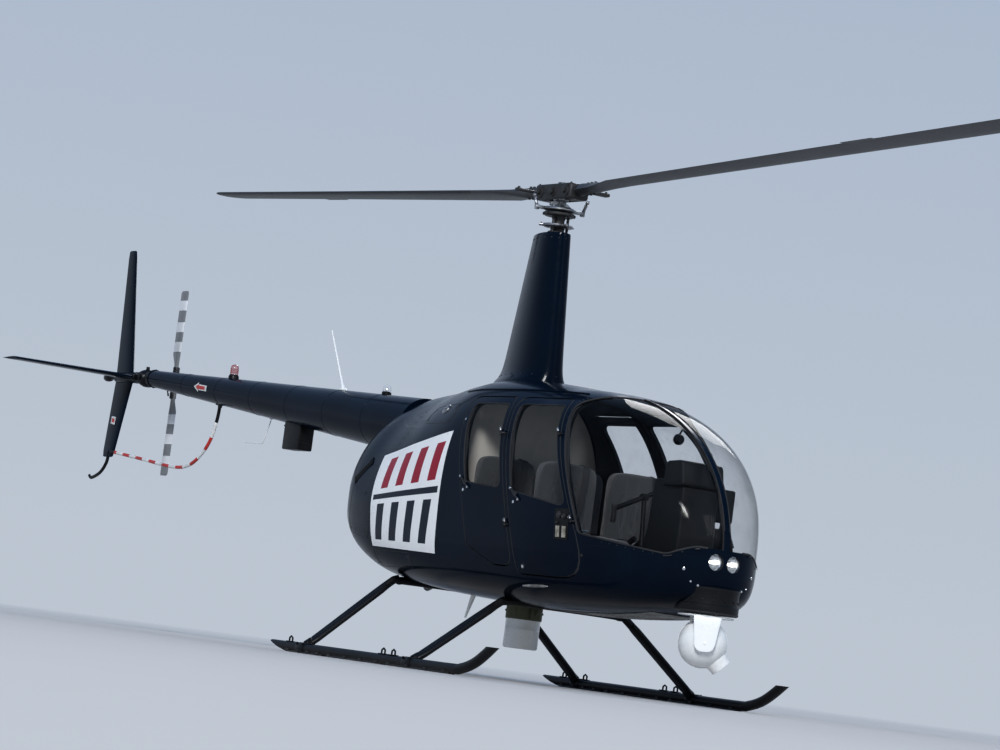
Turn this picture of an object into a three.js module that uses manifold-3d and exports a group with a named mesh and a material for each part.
// Light four-seat helicopter with a two-blade rotor, skids and a camera turret under its nose.
// Millimetres, +X to the nose, +Y to port, +Z up. Stations are measured from the rotor mast, and the
// whole is then shifted so that the origin lies on the ground under the middle of its bounding box.
import * as THREE from "three";
import { mergeVertices } from "three/addons/utils/BufferGeometryUtils.js";
import Module from "manifold-3d";

const wasm = await Module();
wasm.setup();

// Driving dimensions
const mainRotor = { radius: 5029, chord: 254, hubZ: 3200, coneDegrees: 2.2 };
const tailRotor = { x: -5893, y: 235, z: 1955, radius: 737, chord: 130 };
const gear = {
  halfTread: 1065,
  tube: 64,
  crossTube: 54,
  strutChord: 104,
  strutThick: 46,
  foreX: 686,
  aftX: -724,
  floorZ: 3,
  topZ: 193,
};
const hull = { wall: 34, noseStart: 900, noseTip: 2420, noseZ: 850, foldX: -30, cowlX: -880 };
const glassDepth = { outer: 12, inner: 20 };
const doorGap = 11;
const seam = 0.3;
const originX = -855;
const roundSteps = 32;
const noseSteps = 8;
const radians = (degrees) => (degrees * Math.PI) / 180;

// Hull sections: x, half width, widest line, top, bottom, roundness above the widest line
const hullRows = [
  [-1640, 300, 1210, 1500, 1040, 2.4],
  [-1585, 400, 1170, 1640, 900, 2.0],
  [-1450, 485, 1120, 1780, 765, 1.6],
  [-1200, 550, 1060, 1838, 655, 1.5],
  [-880, 600, 1010, 1872, 580, 1.65],
  [-450, 630, 980, 1920, 535, 2.1],
  [0, 640, 960, 1944, 508, 2.7],
  [450, 640, 950, 1928, 492, 3],
  [900, 640, 950, 1882, 482, 3],
];
const noseCurve = { width: 0.8, top: 0.93, bottom: 0.42 };
const powerBelow = 3.6;

// Colours
const navy = 0x0a1728;
const black = 0x101214;
const paint = (color, roughness = 0.3, metalness = 0.2) =>
  new THREE.MeshStandardMaterial({ color, roughness, metalness });
const glassy = () =>
  new THREE.MeshStandardMaterial({
    color: 0x2c3a40,
    roughness: 0.05,
    metalness: 0,
    transparent: true,
    opacity: 0.35,
  });

// Solids and meshes
function toSolid(geometry) {
  const bare = geometry.clone();
  bare.deleteAttribute("normal");
  bare.deleteAttribute("uv");
  const merged = mergeVertices(bare, 1e-3);
  const index = merged.index.array;
  const kept = [];
  for (let i = 0; i < index.length; i += 3) {
    const [a, b, c] = [index[i], index[i + 1], index[i + 2]];
    if (a !== b && b !== c && a !== c) kept.push(a, b, c);
  }
  const vertProperties = new Float32Array(merged.attributes.position.array);
  const triVerts = new Uint32Array(kept);
  return new wasm.Manifold(new wasm.Mesh({ numProp: 3, vertProperties, triVerts }));
}

function toGeometry(solid) {
  const mesh = solid.getMesh();
  const geometry = new THREE.BufferGeometry();
  const positions = new Float32Array(mesh.vertProperties);
  geometry.setAttribute("position", new THREE.BufferAttribute(positions, 3));
  geometry.setIndex(new THREE.BufferAttribute(new Uint32Array(mesh.triVerts), 1));
  const flat = geometry.toNonIndexed();
  flat.computeVertexNormals();
  return flat;
}

const join = (...solids) => solids.reduce((a, b) => a.add(b));
const cut = (solid, ...tools) => tools.reduce((a, b) => a.subtract(b), solid);

// Closed skin through rings of equal point count, with a fan over each end
function loft(rings) {
  const count = rings[0].length;
  const positions = rings.flat().flatMap((p) => [p.x, p.y, p.z]);
  const index = [];
  const at = (ring, i) => ring * count + (i % count);
  for (let r = 0; r + 1 < rings.length; r += 1) {
    for (let i = 0; i < count; i += 1) {
      index.push(at(r, i), at(r, i + 1), at(r + 1, i));
      index.push(at(r, i + 1), at(r + 1, i + 1), at(r + 1, i));
    }
  }
  for (const ring of [0, rings.length - 1]) {
    const middle = new THREE.Vector3();
    rings[ring].forEach((p) => middle.add(p));
    middle.divideScalar(count);
    const centre = positions.length / 3;
    positions.push(middle.x, middle.y, middle.z);
    for (let i = 0; i < count; i += 1) {
      if (ring === 0) index.push(centre, at(ring, i + 1), at(ring, i));
      else index.push(centre, at(ring, i), at(ring, i + 1));
    }
  }
  const geometry = new THREE.BufferGeometry();
  geometry.setAttribute("position", new THREE.Float32BufferAttribute(positions, 3));
  geometry.setIndex(index);
  const solid = toSolid(geometry);
  if (solid.volume() > 0) return solid;
  for (let i = 0; i < index.length; i += 3) {
    [index[i + 1], index[i + 2]] = [index[i + 2], index[i + 1]];
  }
  geometry.setIndex(index);
  return toSolid(geometry);
}

function box(sizeX, sizeY, sizeZ, x, y, z) {
  return toSolid(new THREE.BoxGeometry(sizeX, sizeY, sizeZ).translate(x, y, z));
}

// Cylinder or cone from one point to another
function rod(from, to, radius, sides = 12, radiusTo = radius) {
  const a = new THREE.Vector3(...from);
  const b = new THREE.Vector3(...to);
  const axis = b.clone().sub(a);
  const geometry = new THREE.CylinderGeometry(radiusTo, radius, axis.length(), sides);
  const turn = new THREE.Quaternion().setFromUnitVectors(
    new THREE.Vector3(0, 1, 0),
    axis.clone().normalize(),
  );
  geometry.applyQuaternion(turn);
  const middle = a.add(b).divideScalar(2);
  return toSolid(geometry.translate(middle.x, middle.y, middle.z));
}

// Round bar swept through points with rounded corners
function bar(points, radius, steps = 24, sides = 10) {
  const path = new THREE.CatmullRomCurve3(
    points.map((p) => new THREE.Vector3(...p)),
    false,
    "centripetal",
  );
  const section = new THREE.Shape();
  for (let i = 0; i < sides; i += 1) {
    const angle = ((i + 0.5) / sides) * 2 * Math.PI;
    const px = radius * Math.cos(angle);
    const py = radius * Math.sin(angle);
    if (i === 0) section.moveTo(px, py);
    else section.lineTo(px, py);
  }
  section.closePath();
  const geometry = new THREE.ExtrudeGeometry(section, {
    steps,
    bevelEnabled: false,
    extrudePath: path,
  });
  return toSolid(geometry);
}

// Outline in the X-Z plane with rounded corners: rows are x, z, corner radius
function outline(rows) {
  const shape = new THREE.Shape();
  const count = rows.length;
  rows.forEach(([x, z, radius], i) => {
    const here = new THREE.Vector2(x, z);
    const before = new THREE.Vector2(...rows[(i + count - 1) % count].slice(0, 2));
    const after = new THREE.Vector2(...rows[(i + 1) % count].slice(0, 2));
    const toBefore = before.sub(here);
    const toAfter = after.sub(here);
    const turn = Math.abs(toBefore.angleTo(toAfter));
    const reach = Math.min(
      radius / Math.tan(turn / 2),
      toBefore.length() * 0.48,
      toAfter.length() * 0.48,
    );
    const start = here.clone().add(toBefore.normalize().multiplyScalar(reach));
    const end = here.clone().add(toAfter.normalize().multiplyScalar(reach));
    if (i === 0) shape.moveTo(start.x, start.y);
    else shape.lineTo(start.x, start.y);
    if (radius > 0) shape.quadraticCurveTo(x, z, end.x, end.y);
  });
  shape.closePath();
  return shape;
}

// Rows moved inwards by a distance, for a panel that fits its opening
function inset(rows, distance) {
  const count = rows.length;
  const points = rows.map(([x, z]) => new THREE.Vector2(x, z));
  const sign = Math.sign(THREE.ShapeUtils.area(points));
  return rows.map(([, , radius], i) => {
    const here = points[i];
    const back = here.clone().sub(points[(i + count - 1) % count]).normalize();
    const ahead = points[(i + 1) % count].clone().sub(here).normalize();
    const normalBack = new THREE.Vector2(-back.y, back.x).multiplyScalar(sign);
    const normalAhead = new THREE.Vector2(-ahead.y, ahead.x).multiplyScalar(sign);
    const half = normalBack.clone().add(normalAhead).normalize();
    const reach = distance / half.dot(normalBack);
    return [here.x + half.x * reach, here.y + half.y * reach, radius];
  });
}

// Prism of an X-Z outline from one Y to another
function prism(rows, fromY, toY, curveSegments = 4) {
  const depth = Math.abs(toY - fromY);
  const geometry = new THREE.ExtrudeGeometry(outline(rows), {
    depth,
    bevelEnabled: false,
    curveSegments,
  });
  geometry.rotateX(Math.PI / 2);
  return toSolid(geometry.translate(0, Math.max(fromY, toY), 0));
}

// Symmetric aerofoil outline: quarter chord at the origin, nose towards +X
function aerofoil(chord, thickness) {
  const stations = [1, 0.72, 0.42, 0.2, 0.06, 0];
  const share = (s) => 2.97 * Math.sqrt(s) - 1.26 * s - 3.52 * s * s + 2.84 * s ** 3 - 1.02 * s ** 4;
  const upper = stations.map((s) => [chord * (0.25 - s), Math.max(share(s), 0.04) * thickness * 0.5]);
  upper[upper.length - 1][1] = 0;
  const lower = upper.slice(0, -1).reverse().map(([x, y]) => [x, -y]);
  return [...upper, ...lower];
}

// Hull sections read off the rows, with the nose as a formula
function hullRing(x, half, wide, top, bottom, powerAbove) {
  const ring = [];
  for (let i = 0; i < roundSteps; i += 1) {
    const angle = (i / roundSteps) * 2 * Math.PI;
    const c = Math.cos(angle);
    const s = Math.sin(angle);
    const power = 2 / (s >= 0 ? powerAbove : powerBelow);
    const y = half * Math.sign(c) * Math.abs(c) ** power;
    const rise = s >= 0 ? top - wide : wide - bottom;
    ring.push(new THREE.Vector3(x, y, wide + Math.sign(s) * rise * Math.abs(s) ** power));
  }
  return ring;
}

function hullSkin(insetBy, fromX = hullRows[0][0]) {
  const rings = [];
  const add = (x, half, wide, top, bottom, power) =>
    rings.push(hullRing(x, half - insetBy, wide, top - insetBy, bottom + insetBy, power));
  const last = hullRows[hullRows.length - 1];
  hullRows.forEach((row, i) => {
    const [x, ...sizes] = row;
    if (x < fromX && hullRows[i + 1][0] > fromX) {
      const share = (fromX - x) / (hullRows[i + 1][0] - x);
      const next = hullRows[i + 1].slice(1);
      add(fromX, ...sizes.map((v, k) => v + (next[k] - v) * share));
    } else if (x >= fromX) add(x, ...sizes);
  });
  const [start, half, wide, top, bottom, power] = last;
  const length = hull.noseTip - insetBy - start;
  for (let k = 1; k <= noseSteps; k += 1) {
    const turn = (k / noseSteps) * 0.985 * (Math.PI / 2);
    const c = Math.cos(turn);
    const grow = (target, rate) => hull.noseZ + (target - hull.noseZ) * c ** rate;
    const x = start + length * Math.sin(turn);
    const ringHalf = (half - insetBy) * c ** noseCurve.width;
    const ringTop = grow(top - insetBy, noseCurve.top);
    const ringBottom = grow(bottom + insetBy, noseCurve.bottom);
    rings.push(hullRing(x, ringHalf, grow(wide, noseCurve.top), ringTop, ringBottom, power));
  }
  return loft(rings);
}

// Door and window outlines: x, z, corner radius. Each door's front edge carries its hinges.
const pillarFore = { x: 1296, z: 1526, lean: 0.575 };
const pillarMid = { x: 682, z: 1530, lean: 0.441 };
const pillarAft = { x: 262, z: 1219, lean: 0.467 };
const pillarX = (pillar, z, shift) => pillar.x - (z - pillar.z) * pillar.lean + shift;
const foreX = (z, shift = 0) => pillarX(pillarFore, z, shift);
const midX = (z, shift = 0) => pillarX(pillarMid, z, shift);
const aftX = (z, shift = 0) => pillarX(pillarAft, z, shift);
const doorTop = 1790;
const doorBottom = 662;
const frontDoorRows = [
  [foreX(doorBottom), doorBottom, 170],
  [foreX(doorTop), doorTop, 60],
  [midX(doorTop, 16), doorTop, 60],
  [midX(doorBottom, 16), doorBottom, 60],
];
const rearDoorRows = [
  [midX(700, -16), 700, 150],
  [midX(doorTop, -16), doorTop, 60],
  [aftX(doorTop), doorTop, 70],
  [aftX(815), 815, 70],
  [790, 705, 90],
];
const windowTop = 1738;
const frontWindowRows = [
  [1506, 1096, 45],
  [1506 - (windowTop - 1096) * pillarFore.lean, windowTop, 40],
  [midX(windowTop, 66), windowTop, 40],
  [midX(1180, 66), 1180, 45],
];
const rearWindowRows = [
  [midX(1188, -58), 1188, 45],
  [midX(windowTop, -58), windowTop, 40],
  [aftX(windowTop, 62), windowTop, 55],
  [aftX(1219, 62), 1219, 55],
];
const windshieldRows = [
  [1650, 946, 50],
  [foreX(1752, 50), 1752, 60],
  [1450, 1900, 10],
  [1450, 2100, 0],
  [2700, 2100, 0],
  [2700, 945, 0],
  [2380, 940, 20],
  [2270, 876, 60],
];

// Hinge pins outside each door's front edge: x, y, z, height of the pin above the skin
const hingePins = {
  front: [
    [1584.6, 600, 1024, 20],
    [1276.4, 575, 1560, 29],
  ],
  rear: [
    [910.8, 654, 975, 16],
    [657.6, 616, 1549, 36],
  ],
};
const hinge = { length: 26, knuckleR: 8, strapR: 7, rootDepth: 12, frameReach: 12, doorReach: -24 };
// One leaf of a door's two hinges: knuckles on the pins' line, each with a strap into the skin
function hingeLeaf(pins, side, reachX, fromUp, toUp) {
  const points = pins.map(([x, y, z]) => new THREE.Vector3(x, side.y * y, z));
  const up = points[1].clone().sub(points[0]).normalize();
  const leaves = points.map((point, i) => {
    const at = (distance) => point.clone().addScaledVector(up, distance).toArray();
    const middle = at((fromUp + toUp) / 2);
    const sink = side.y * (pins[i][3] + hinge.rootDepth);
    const root = [middle[0] + reachX, middle[1] - sink, middle[2]];
    return join(rod(at(fromUp), at(toUp), hinge.knuckleR, 8), rod(middle, root, hinge.strapR, 6));
  });
  return join(...leaves);
}

const wall = cut(hullSkin(0), hullSkin(hull.wall));
const glassLayer = cut(hullSkin(glassDepth.outer), hullSkin(glassDepth.inner));
const sides = [
  { name: "right", y: -1 },
  { name: "left", y: 1 },
];
// Cutting blocks reach well past the hull, which lies within 900 mm of its middle plane
const reachY = 900;
const past = 3000;
const nearMiddle = 120;
const acrossSide = (rows, side) => prism(rows, side.y * nearMiddle, side.y * reachY);
const aheadOf = (x) => box(past, 2 * reachY, past, x + past / 2, 0, past / 2);
const behindOf = (x) => box(past, 2 * reachY, past, x - past / 2, 0, past / 2);
const cabinZone = aheadOf(hull.foldX);
const postHalf = 21;
const post = box(past, 2 * postHalf, past, hull.noseStart + past / 2, 0, past / 2);
const windshieldTool = cut(prism(windshieldRows, -reachY, reachY), post);

const group = new THREE.Group();
group.position.x = -originX;
function place(name, solid, material, parent = group) {
  const mesh = new THREE.Mesh(toGeometry(solid), material);
  mesh.name = name;
  parent.add(mesh);
  return mesh;
}

// Cabin: tub below, frame above, with doors, windows and windshield cut out
const splitZ = 880;
const wide = 9000;
const under = (z) => box(wide, past, past, 0, 0, z - past / 2);
const over = (z) => box(wide, past, past, 0, 0, z + past / 2);
const doorTools = sides.flatMap((side) => [
  acrossSide(frontDoorRows, side),
  acrossSide(rearDoorRows, side),
]);
const cabinShell = cut(wall.intersect(cabinZone), ...doorTools, windshieldTool);
const floorTop = 600;
const floorPan = hullSkin(hull.wall + 2 * seam, hull.foldX)
  .intersect(cabinZone)
  .intersect(under(floorTop));
const turret = {
  x: 2285,
  ringBottom: 556,
  ringTop: 712,
  ringR: 190,
  stemTop: 742,
  stemR: 118,
  panDegrees: 60,
};
const upright = (fromZ, toZ, radius, sides) => rod([turret.x, 0, fromZ], [turret.x, 0, toZ], radius, sides);
const mountRing = (extra) =>
  join(
    upright(turret.ringBottom, turret.ringTop + extra, turret.ringR + extra, 28),
    upright(turret.ringTop - 5, turret.stemTop, turret.stemR + extra, 24),
  );
const lamp = { x: 2385, y: 63, z: 864, radius: 50, front: 14, back: 60, hole: 90 };
const lampSpots = sides.map((side) => ({ ...side, at: [lamp.x, side.y * lamp.y, lamp.z] }));
const lampHoles = lampSpots.map(({ at: [x, y, z] }) =>
  rod([x - lamp.hole, y, z], [x + lamp.hole, y, z], lamp.radius, 20),
);
const skidR = gear.tube / 2;
const skidZ = gear.floorZ + skidR;
// Skid tube with its wear shoe, x and rise of the tube's middle from table rows. Its tail end is
// cut on a slant from below, and its bent nose is cut level.
const skidRows = [
  [-1154, 0],
  [-700, 0],
  [300, 0],
  [1180, 0],
  [1320, 9],
  [1460, 48],
  [1580, 110],
  [1700, 188],
  [1730, 209],
];
const skidTail = { x: skidRows[0][0], length: 200, tipHigh: 8 };
const shoe = { length: 2300, width: 46, high: 14, x: 60 };
const tailSlant = [
  [skidTail.x + skidTail.length, gear.floorZ - 1, 0],
  [skidTail.x - 40, gear.floorZ + gear.tube - skidTail.tipHigh + 4, 0],
  [skidTail.x - 40, -200, 0],
  [skidTail.x + skidTail.length, -200, 0],
];
const slantTool = prism(tailSlant, -gear.halfTread - 100, gear.halfTread + 100);
function skid(side, extra) {
  const y = side.y * gear.halfTread;
  const tube = bar(skidRows.map(([x, rise]) => [x, y, skidZ + rise]), skidR + extra, 24, 12);
  const trim = box(400, 200, 200, 1700, y, gear.topZ + extra + 100);
  const plate = box(shoe.length, shoe.width + 2 * extra, shoe.high + 2 * extra, shoe.x, y, gear.floorZ + 4);
  return cut(join(tube, plate), trim, slantTool);
}
// Cross tube that is round under the hull and flattens into a fairing on each strut
const fairing = { fromY: 400, toY: 470, steps: 28, sides: 12 };
function crossTube(points, extra) {
  const path = new THREE.CatmullRomCurve3(points, false, "centripetal");
  const rings = [];
  for (let k = 0; k <= fairing.steps; k += 1) {
    const point = path.getPointAt(k / fairing.steps);
    const along = path.getTangentAt(k / fairing.steps);
    const across = new THREE.Vector3(0, -along.z, along.y);
    const share = THREE.MathUtils.smoothstep(Math.abs(point.y), fairing.fromY, fairing.toY);
    const chord = THREE.MathUtils.lerp(gear.crossTube, gear.strutChord, share) + 2 * extra;
    const thickness = THREE.MathUtils.lerp(gear.crossTube, gear.strutThick, share) + 2 * extra;
    const ring = [];
    for (let i = 0; i < fairing.sides; i += 1) {
      const angle = (i / fairing.sides) * 2 * Math.PI;
      const spot = point.clone().addScaledVector(across, (Math.sin(angle) * thickness) / 2);
      spot.x += (Math.cos(angle) * chord) / 2;
      ring.push(spot);
    }
    rings.push(ring);
  }
  return loft(rings);
}
const legs = [
  { name: "front_cross_tube", x: gear.foreX, topZ: 500, bendZ: 490 },
  { name: "rear_cross_tube", x: gear.aftX, topZ: 560, bendZ: 552 },
].map((leg) => {
  const foot = [gear.halfTread, skidZ];
  const half = [foot, [500, leg.bendZ - 26], [430, leg.bendZ], [330, leg.topZ]];
  const points = [
    ...half.map(([y, z]) => new THREE.Vector3(leg.x, -y, z)),
    ...half.reverse().map(([y, z]) => new THREE.Vector3(leg.x, y, z)),
  ];
  return { ...leg, solid: (extra) => crossTube(points, extra) };
});
const legTools = legs.map((leg) => leg.solid(seam));
const tubShell = cabinShell.intersect(under(splitZ - seam));
place("cabin_tub", cut(tubShell, mountRing(seam), ...lampHoles, ...legTools), paint(navy));
const frameLeaves = sides.flatMap((side) =>
  Object.values(hingePins).map((pins) => hingeLeaf(pins, side, hinge.frameReach, -hinge.length, -seam)),
);
const frameShell = cut(cabinShell.intersect(over(splitZ)), ...lampHoles);
place("cabin_frame", join(frameShell, ...frameLeaves), paint(navy));
place("cabin_floor", cut(floorPan, mountRing(seam), ...lampHoles, ...legTools), paint(0x3a3c3e, 0.8, 0));

// Windshield halves
for (const side of sides) {
  const half = box(past, reachY, past, past / 2, side.y * (reachY / 2 + postHalf + seam), past / 2);
  const pane = prism(inset(windshieldRows, seam), -reachY, reachY);
  place("windshield_" + side.name, glassLayer.intersect(pane).intersect(half), glassy());
}

// Doors with their glass
const openings = [
  { name: "front", door: frontDoorRows, window: frontWindowRows },
  { name: "rear", door: rearDoorRows, window: rearWindowRows },
];
for (const side of sides) {
  for (const opening of openings) {
    const leaf = wall.intersect(acrossSide(inset(opening.door, doorGap), side));
    const pins = hingePins[opening.name];
    const hinges = hingeLeaf(pins, side, hinge.doorReach, seam, hinge.length);
    const panel = join(cut(leaf, acrossSide(opening.window, side)), hinges);
    const pane = glassLayer.intersect(acrossSide(inset(opening.window, seam), side));
    place(opening.name + "_door_" + side.name, panel, paint(navy));
    place(opening.name + "_glass_" + side.name, pane, glassy());
  }
}

// Body behind the cabin, with the bulkhead as its front wall, and the rear engine cowl
const bay = { foreX: hull.foldX - seam / 2, aftX: hull.cowlX + seam / 2 };
const bayZone = cut(behindOf(bay.foreX), behindOf(bay.aftX));
const bulkheadFaces = { fore: hull.foldX - 2 - seam, aft: hull.foldX - 38 - seam };
const bulkhead = cut(hullSkin(2).intersect(behindOf(bulkheadFaces.fore)), behindOf(bulkheadFaces.aft));
const bayOpening = box(360, 560, 400, -690, 0, 520);
const aftBody = cut(join(wall.intersect(bayZone), bulkhead), bayOpening, ...legTools);
place("aft_body", aftBody, paint(navy));
const cowlZone = behindOf(hull.cowlX - seam);
const cone = {
  foreX: -1400,
  aftX: -5760,
  foreZ: 1622,
  aftZ: 1953,
  foreR: 205,
  aftR: 66,
  wall: 12,
};
const tailLine = (x) =>
  cone.foreZ + ((cone.aftZ - cone.foreZ) * (cone.foreX - x)) / (cone.foreX - cone.aftX);
const tailRadius = (x) =>
  cone.foreR + ((cone.aftR - cone.foreR) * (cone.foreX - x)) / (cone.foreX - cone.aftX);
const coneShape = (extra) =>
  rod(
    [cone.foreX + extra, 0, cone.foreZ],
    [cone.aftX - extra, 0, cone.aftZ],
    cone.foreR + extra,
    24,
    cone.aftR + extra,
  );
const cowlVent = box(400, 520, 700, -1140, 0, 400);
place("engine_cowl", cut(wall.intersect(cowlZone), coneShape(seam), cowlVent), paint(navy));

// Engine block on its mount tubes
const engine = { x: -860, z: 910, length: 620, width: 580, high: 400 };
const mount = { y: 200, rise: 150, radius: 16, fromX: -560, toX: bulkheadFaces.aft - seam };
const mountTubes = [-mount.y, mount.y].flatMap((y) =>
  [engine.z - mount.rise, engine.z + mount.rise].map((z) =>
    rod([mount.fromX, y, z], [mount.toX, y, z], mount.radius, 8),
  ),
);
const engineBlock = box(engine.length, engine.width, engine.high, engine.x, 0, engine.z);
place("engine_block", join(engineBlock, ...mountTubes), paint(0x55585a, 0.6, 0.5));

// Mast fairing on the roof, open for the mast
const fairingRows = [
  [1780, 740, 250, 54],
  [2930, 400, 158, 18],
];
const fairingRing = ([z, chord, thickness, shift]) =>
  aerofoil(chord, thickness).map(([x, y]) => new THREE.Vector3(x + shift, y, z));
const fairingCore = loft(fairingRows.map(fairingRing));
const mastBore = rod([0, 0, 1700], [0, 0, 3000], 44, 16);
place("mast_fairing", cut(fairingCore, hullSkin(-seam), mastBore), paint(navy));

// Lower swashplate on its three push rods
const swashZ = 3040;
const pushRod = { circle: 62, radius: 9, bottomZ: 2930 + seam };
const swashRing = { outer: 104, bore: 46, high: 26, sides: 24 };
const lowerPlate = cut(
  rod([0, 0, swashZ], [0, 0, swashZ + swashRing.high], swashRing.outer, swashRing.sides),
  rod([0, 0, swashZ - 5], [0, 0, swashZ + swashRing.high + 5], swashRing.bore, swashRing.sides),
);
const pushRods = [60, 180, 300].map((angle) => {
  const x = pushRod.circle * Math.cos(radians(angle));
  const y = pushRod.circle * Math.sin(radians(angle));
  return rod([x, y, pushRod.bottomZ], [x, y, swashZ + 4], pushRod.radius, 8);
});
place("swashplate_lower", join(lowerPlate, ...pushRods), paint(0x8a8f94, 0.4, 0.8));

// Rotor shaft with the upper swashplate and the pitch links, turning together
const rotorGroup = new THREE.Group();
group.add(rotorGroup);
const teeter = { boltR: 24, cheekGap: 10, shaftR: 34 };
const roofTop = 1944;
const shaft = rod([0, 0, roofTop + 2 * seam], [0, 0, mainRotor.hubZ + 54], teeter.shaftR, 20);
const head = { half: 42, high: 112 };
const shaftHead = box(2 * head.half, 2 * head.half, head.high, 0, 0, mainRotor.hubZ);
const upperPlate = rod([0, 0, swashZ + 34], [0, 0, swashZ + 58], 108, 24);
const link = { lowX: 30, lowY: 150, highX: 62, highY: 166, radius: 10 };
const links = [1, -1].flatMap((turn) => [
  box(70, 80, 20, turn * link.lowX, turn * (link.lowY - 24), swashZ + 46),
  rod(
    [turn * link.lowX, turn * link.lowY, swashZ + 40],
    [turn * link.highX, turn * link.highY, mainRotor.hubZ - 40],
    link.radius,
    8,
  ),
]);
place(
  "rotor_shaft",
  join(shaft, shaftHead, upperPlate, ...links),
  paint(0x9a9fa4, 0.35, 0.85),
  rotorGroup,
);

// Hub yoke on the teeter bolt, and the two coned blades
const yoke = { half: 205, cheekY: head.half + teeter.cheekGap, wall: 22, high: 102, endLength: 90 };
const cheek = (y) =>
  box(2 * yoke.half, yoke.wall, yoke.high, 0, y * (yoke.cheekY + yoke.wall / 2), mainRotor.hubZ);
const yokeEnd = (x) =>
  box(yoke.endLength, 2 * (yoke.cheekY + yoke.wall), yoke.high, x * (yoke.half - 30), 0, mainRotor.hubZ);
const boltY = yoke.cheekY + 40;
const bolts = [-1, 1].map((y) =>
  rod([0, y * (head.half + seam), mainRotor.hubZ], [0, y * boltY, mainRotor.hubZ], teeter.boltR, 16),
);
place(
  "hub_yoke",
  join(cheek(1), cheek(-1), yokeEnd(1), yokeEnd(-1), ...bolts),
  paint(0x8f9499, 0.4, 0.8),
  rotorGroup,
);

// Blade sections: radius, chord, thickness, twist in degrees
const bladeRows = [
  [262, 96, 84, 8],
  [420, 104, 70, 7],
  [640, 190, 46, 6],
  [820, mainRotor.chord, 34, 5],
  [3000, mainRotor.chord, 30, 2],
  [mainRotor.radius - 40, mainRotor.chord, 28, 0],
  [mainRotor.radius, mainRotor.chord * 0.8, 20, 0],
];
function bladeSolid() {
  const rings = bladeRows.map(([radius, chord, thickness, twist]) => {
    const t = radians(twist);
    return aerofoil(chord, thickness).map(([x, y]) => {
      const along = x * Math.cos(t) - y * Math.sin(t);
      const up = x * Math.sin(t) + y * Math.cos(t);
      return new THREE.Vector3(radius, along, up);
    });
  });
  const yokeFace = yoke.half + 15;
  const spindle = rod([yokeFace + 2, 0, 0], [330, 0, 0], 34, 16);
  const horn = box(50, 190, 22, 262, 98, -6);
  return join(loft(rings), spindle, horn);
}
for (const [name, turn] of [["blade_fore", 0], ["blade_aft", Math.PI]]) {
  const blade = place(name, bladeSolid(), paint(0x2b2e31, 0.5, 0.2), rotorGroup);
  blade.rotation.set(0, -radians(mainRotor.coneDegrees), turn, "ZYX");
  blade.position.z = mainRotor.hubZ;
}

// Tail cone, gearbox and tail rotor
const coneInner = rod(
  [cone.foreX + 20, 0, tailLine(cone.foreX + 20)],
  [cone.aftX + 60, 0, tailLine(cone.aftX + 60)],
  cone.foreR - cone.wall,
  20,
  cone.aftR - cone.wall,
);
place("tail_cone", cut(coneShape(0), coneInner), paint(navy));
const onAxis = (x) => [x, 0, tailLine(x)];
const tailEnd = { x: -6082, z: 1961, bossR: 44, aftX: -6490 };
const gearNeckR = 54;
const gearCaseR = 70;
const gearCase = join(
  rod(onAxis(cone.aftX - seam), onAxis(cone.aftX - 70), 62, 20),
  toSolid(new THREE.SphereGeometry(gearCaseR, 14, 8).translate(tailRotor.x, 0, tailRotor.z)),
  rod([tailRotor.x, 0, tailRotor.z], [tailRotor.x, tailRotor.y - 66, tailRotor.z], 52, 16, 40),
  rod([tailRotor.x, 0, tailEnd.z], [tailEnd.x + seam, 0, tailEnd.z], gearNeckR, 16, tailEnd.bossR),
);
place("tail_gearbox", gearCase, paint(black, 0.4, 0.4));
const tailRotorGroup = new THREE.Group();
tailRotorGroup.position.set(tailRotor.x, tailRotor.y, tailRotor.z);
group.add(tailRotorGroup);
const tailBladeRows = [
  [70, 60, 34],
  [150, 70, 26],
  [230, tailRotor.chord, 17],
  [tailRotor.radius - 15, tailRotor.chord, 14],
  [tailRotor.radius, tailRotor.chord * 0.8, 9],
];
const tailBlade = (way) =>
  loft(
    tailBladeRows.map(([radius, chord, thickness]) =>
      aerofoil(chord, thickness).map(([x, y]) => new THREE.Vector3(way * x, y, way * radius)),
    ),
  );
const tailHub = join(
  rod([0, seam - 66, 0], [0, 46, 0], 22, 16),
  rod([0, -20, 0], [0, 20, 0], 48, 20),
  box(60, 34, 250, 0, 0, 0),
);
place(
  "tail_rotor",
  join(tailHub, tailBlade(1), tailBlade(-1)),
  paint(0xb9bcc0, 0.4, 0.4),
  tailRotorGroup,
);

// Fins as one swept piece behind the gearbox: z, leading edge x, chord, thickness
const finRows = [
  [1322, -6340, 200, 22],
  [1950, -6160, 320, 36],
  [2990, -6420, 140, 16],
];
const finCore = loft(
  finRows.map(([z, nose, chord, thickness]) =>
    aerofoil(chord, thickness).map(([x, y]) => new THREE.Vector3(nose + x - chord * 0.25, y, z)),
  ),
);
const tailBoss = (extra) =>
  rod([tailEnd.x, 0, tailEnd.z], [tailEnd.aftX, 0, tailEnd.z], tailEnd.bossR + extra, 16);
place("tail_fins", join(finCore, tailBoss(0)), paint(navy));
const stabilizer = { tipY: 1085, noseX: -6000, chord: 296, z: 1958 };
const stabCore = loft(
  [
    [20, stabilizer.chord, 40],
    [stabilizer.tipY, stabilizer.chord - 16, 26],
  ].map(([span, chord, thickness]) =>
    aerofoil(chord, thickness).map(([x, z]) => {
      const nose = stabilizer.noseX - chord * 0.25;
      return new THREE.Vector3(nose + x, -span, stabilizer.z + z);
    }),
  ),
);
const gearCaseRoom = rod(
  [tailRotor.x, 0, tailEnd.z],
  [tailEnd.x - 1, 0, tailEnd.z],
  gearNeckR + seam,
  16,
  tailEnd.bossR + 1,
);
const finRoom = box(400, 40, 400, -6330, 0, stabilizer.z);
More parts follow.
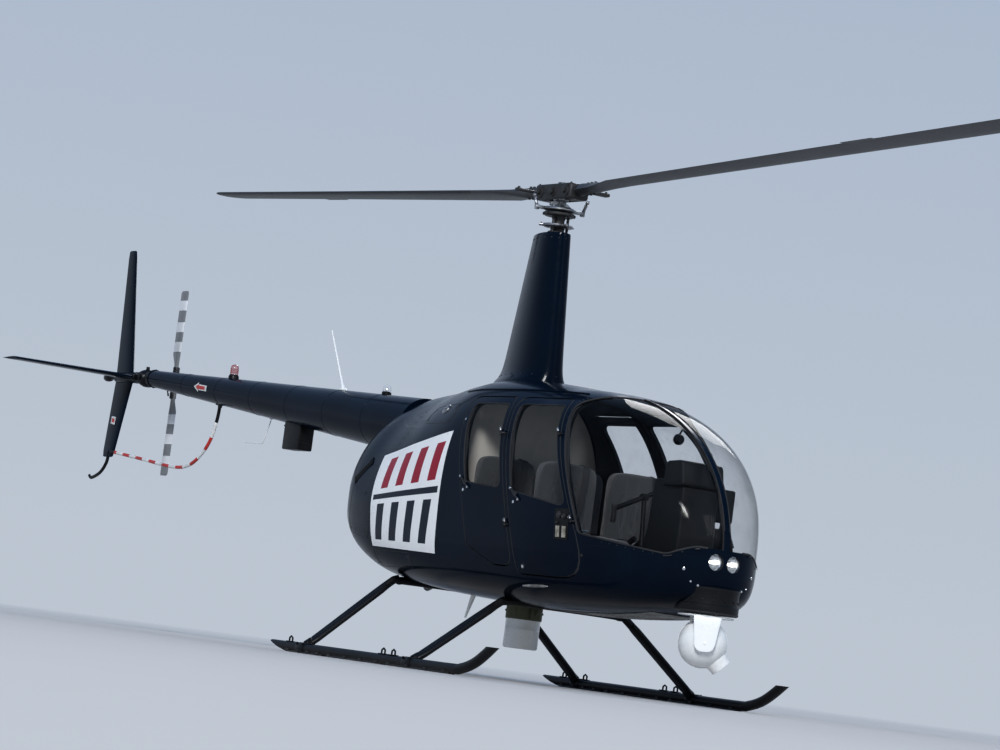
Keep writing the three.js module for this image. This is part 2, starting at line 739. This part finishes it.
place("stabilizer", cut(stabCore, tailBoss(seam), gearCaseRoom, finRoom), paint(navy));

// Tail skid under the fin, and the striped guard in front of it
const finFloor = box(600, 100, 200, -6400, 0, finRows[0][0] - seam + 100);
const skidRoute = [
  [-6428, 0, 1340],
  [-6452, 0, 1270],
  [-6540, 0, 1195],
  [-6684, 0, 1150],
  [-6733, 0, 1166],
];
const guardTubeR = 13;
place("tail_skid", cut(bar(skidRoute, guardTubeR, 16, 8), finFloor), paint(black));
const guardRoute = [
  [-4562, 0, 1790],
  [-4578, 0, 1655],
  [-4640, 0, 1500],
  [-4760, 0, 1382],
  [-4960, 0, 1288],
  [-5240, 0, 1270],
  [-5800, 0, 1318],
  [-6326, 0, 1362],
];
place("tail_guard", cut(bar(guardRoute, guardTubeR, 24, 8), coneShape(seam)), paint(0xc9ccd0));

// Landing gear: skid tubes, and bent cross tubes with faired struts
const skidRoom = sides.map((side) => skid(side, seam));
for (const side of sides) place("skid_" + side.name, skid(side, 0), paint(black, 0.45, 0.4));
for (const leg of legs) place(leg.name, cut(leg.solid(0), ...skidRoom), paint(black, 0.4, 0.4));

// Camera turret: mount ring on the chin, yoke that pans, ball that tilts. Yoke and ball are drawn
// about the pan axis and then turned to port, the way the turret looks at rest.
place("turret_mount", mountRing(0), paint(black, 0.5, 0.3));
const panned = (solid) => solid.rotate([0, 0, turret.panDegrees]).translate([turret.x, 0, 0]);
const ball = { z: 380, radius: 148, snoutFrom: 85, snoutTo: 187, snoutR: 72, tipR: 66, pivotR: 26 };
const arm = { y: ball.radius + 16, wall: 14, topHalf: 84, lowHalf: 62, lowZ: ball.z - 52 };
const yokeTop = turret.ringBottom - 10;
const yokePlate = 12;
const armRows = [
  [-arm.topHalf, yokeTop - 8, 20],
  [arm.topHalf, yokeTop - 8, 20],
  [arm.lowHalf, arm.lowZ, 60],
  [-arm.lowHalf, arm.lowZ, 60],
];
const yokeArm = (side) =>
  prism(armRows, side * (arm.y - arm.wall / 2), side * (arm.y + arm.wall / 2));
const turretYoke = join(
  rod([0, 0, yokeTop - yokePlate], [0, 0, yokeTop], arm.y + arm.wall / 2, 24),
  rod([0, 0, yokeTop - 5], [0, 0, turret.ringBottom - seam], 40, 16),
  yokeArm(1),
  yokeArm(-1),
);
place("turret_yoke", panned(turretYoke), paint(0xe8eaec, 0.35, 0));
const ballCore = toSolid(new THREE.SphereGeometry(ball.radius, 18, 10).translate(0, 0, ball.z));
const downAhead = (distance) => [distance * Math.SQRT1_2, 0, ball.z - distance * Math.SQRT1_2];
const snout = rod(downAhead(ball.snoutFrom), downAhead(ball.snoutTo), ball.snoutR, 16, ball.tipR);
const pivotY = arm.y - arm.wall / 2 - seam;
const pivots = rod([0, -pivotY, ball.z], [0, pivotY, ball.z], ball.pivotR, 16);
place("camera_ball", panned(join(ballCore, snout, pivots)), paint(0xeff1f2, 0.3, 0));

// Downlink pod under the belly with its hanger
const pod = { x: 212, radius: 112, top: 470, bottom: 212 };
place(
  "belly_pod",
  rod([pod.x, 0, pod.bottom], [pod.x, 0, pod.top], pod.radius, 28, pod.radius + 2),
  paint(0xdfe2e4, 0.35, 0),
);
const inHullZ = 560;
const podHanger = rod([pod.x, 0, pod.top + seam], [pod.x, 0, inHullZ], pod.radius + 6, 28);
const podHook = box(40, 60, 120, pod.x + pod.radius + 24, 0, pod.top);
place("pod_bracket", cut(join(podHanger, podHook), hullSkin(-seam)), paint(0x4d5030, 0.6, 0.1));

// Small fittings on the tail cone and the belly
const onCone = (x) => tailLine(x) + tailRadius(x);
const seated = (solid) => cut(solid, coneShape(seam));
const tailCamera = { x: -3230, length: 250, width: 120, high: 240, hang: 60 };
const underCone = tailLine(tailCamera.x) - tailRadius(tailCamera.x);
const cameraCase = box(
  tailCamera.length,
  tailCamera.width,
  tailCamera.high,
  tailCamera.x,
  0,
  underCone - tailCamera.hang,
);
place("tail_camera_box", seated(cameraCase), paint(black, 0.5, 0.2));
const standing = (x, height, base, top, shift = 0) =>
  seated(rod([x, 0, onCone(x) - 60], [x + shift, 0, onCone(x) + height], base, 16, top));
place("beacon", standing(-4400, 95, 44, 34), paint(0xb01818));
place("strobe", standing(-2000, 70, 42, 26), paint(0xdadde0));
place("cone_antenna", standing(-2640, 430, 10, 5, -290), paint(0xe4e6e8));
const bellyMast = rod([-430, 0, inHullZ], [-520, 0, 372], 24, 10, 6);
place("belly_antenna", cut(bellyMast, hullSkin(-seam)), paint(0xe4e6e8));
for (const spot of lampSpots) {
  const [x, y, z] = spot.at;
  const housing = rod([x - lamp.back, y, z], [x + lamp.front, y, z], lamp.radius - seam, 20);
  place("landing_lamp_" + spot.name, housing, paint(0xf0f4f6, 0.1, 0.3));
}

// Cabin furniture: four seats, console and control stick
const seat = { y: 262, depth: 480, boxWide: 370, boxHigh: 250, padWide: 440, padHigh: 100, lap: 1 };
const seatBack = { thick: 112, width: 420, lap: 2 };
const seatRows = [
  { name: "front_seat", x: 880, backHigh: 540 },
  { name: "rear_seat", x: 130, backHigh: 560 },
];
for (const row of seatRows) {
  for (const side of sides) {
    const y = side.y * seat.y;
    const bottom = floorTop + seam;
    const top = bottom + seat.boxHigh;
    const baseX = row.x + seatBack.thick - seatBack.lap + seat.depth / 2;
    const base = box(seat.depth, seat.boxWide, seat.boxHigh, baseX, y, bottom + seat.boxHigh / 2);
    const cushionZ = top + seat.padHigh / 2 - seat.lap;
    const cushion = box(seat.depth, seat.padWide, seat.padHigh, baseX, y, cushionZ);
    const backX = row.x + seatBack.thick / 2;
    const back = box(seatBack.thick, seatBack.width, row.backHigh, backX, y, top + row.backHigh / 2);
    place(row.name + "_" + side.name, join(base, cushion, back), paint(0x33373b, 0.8, 0));
  }
}
// Pedestal, with the instrument head on top and a camera screen in front of the port seat
const consoleRows = [
  [1560, floorTop + seam, 0],
  [2060, floorTop + seam, 40],
  [2080, 1000, 80],
  [2060, 1345, 50],
  [1740, 1345, 30],
  [1720, 1040, 60],
];
const headRows = [
  [1860, 1300, 20],
  [1880, 1452, 30],
  [2050, 1462, 40],
  [2090, 1300, 30],
];
const consoleHalf = 130;
const headHalf = 152;
const screen = { x: 1880, y: 258, z: 1230, thick: 70, width: 206, high: 206 };
const screenArm = { y: consoleHalf + 20, thick: 50, width: 60, high: 70 };
const instruments = join(
  prism(consoleRows, -consoleHalf, consoleHalf),
  prism(headRows, -headHalf, headHalf),
  box(screen.thick, screen.width, screen.high, screen.x, screen.y, screen.z),
  box(screenArm.thick, screenArm.width, screenArm.high, screen.x, screenArm.y, screen.z),
);
place("console", instruments, paint(0x16181a, 0.6, 0.1));
// Stick with a cross bar that leans to starboard under its own weight
const cyclic = { x: 1495, bendZ: 880, topX: 1450, topZ: 1235, radius: 16, footR: 30 };
const crossBar = { half: 200, lean: 95, radius: 16 };
const cyclicRoute = [
  [cyclic.x, 0, floorTop + 8],
  [cyclic.x - 5, 0, cyclic.bendZ],
  [cyclic.topX, 0, cyclic.topZ],
];
const stick = join(
  bar(cyclicRoute, cyclic.radius, 8, 8),
  rod([cyclic.x, 0, floorTop + seam], [cyclic.x, 0, floorTop + 20], cyclic.footR, 12),
  rod(
    [cyclic.topX, -crossBar.half, cyclic.topZ - crossBar.lean],
    [cyclic.topX, crossBar.half, cyclic.topZ + crossBar.lean],
    crossBar.radius,
    8,
  ),
);
place("cyclic_stick", stick, paint(black, 0.6, 0.2));

export default group;
